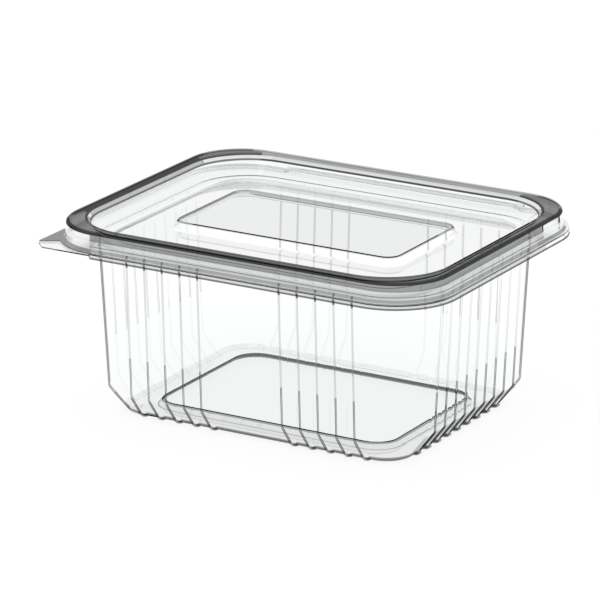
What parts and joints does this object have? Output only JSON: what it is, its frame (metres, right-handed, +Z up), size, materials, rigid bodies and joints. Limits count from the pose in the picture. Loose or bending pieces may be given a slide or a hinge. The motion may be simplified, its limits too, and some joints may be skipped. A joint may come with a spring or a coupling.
{
  "type": "hinged salad container",
  "caption": "Clear rectangular salad container formed from thin plastic sheet: a fluted tray with a flange, a ridged plug lid hinged along the back, and a corner pull tab.",
  "frame": {"origin": "centre of the foot ring, on the plane that the tray stands on", "axes": "+X along the container's length, -Y towards the front edge that lifts, +Z up"},
  "size_m": [0.177, 0.1462, 0.081],
  "materials": {
    "clear_sheet": "gloss",
    "clear_fold": "gloss"
  },
  "bodies": {
    "tray": {"tray": "clear_sheet", "hinge_fold": "clear_fold"},
    "lid": {"lid": "clear_sheet"}
  },
  "joints": [
    {"name": "lid_hinge", "type": "hinge", "parent": "tray", "child": "lid", "pos_m": [0, 0.0741, 0.0726], "axis": [-1, 0, 0], "range_deg": [0, 180]}
  ]
}
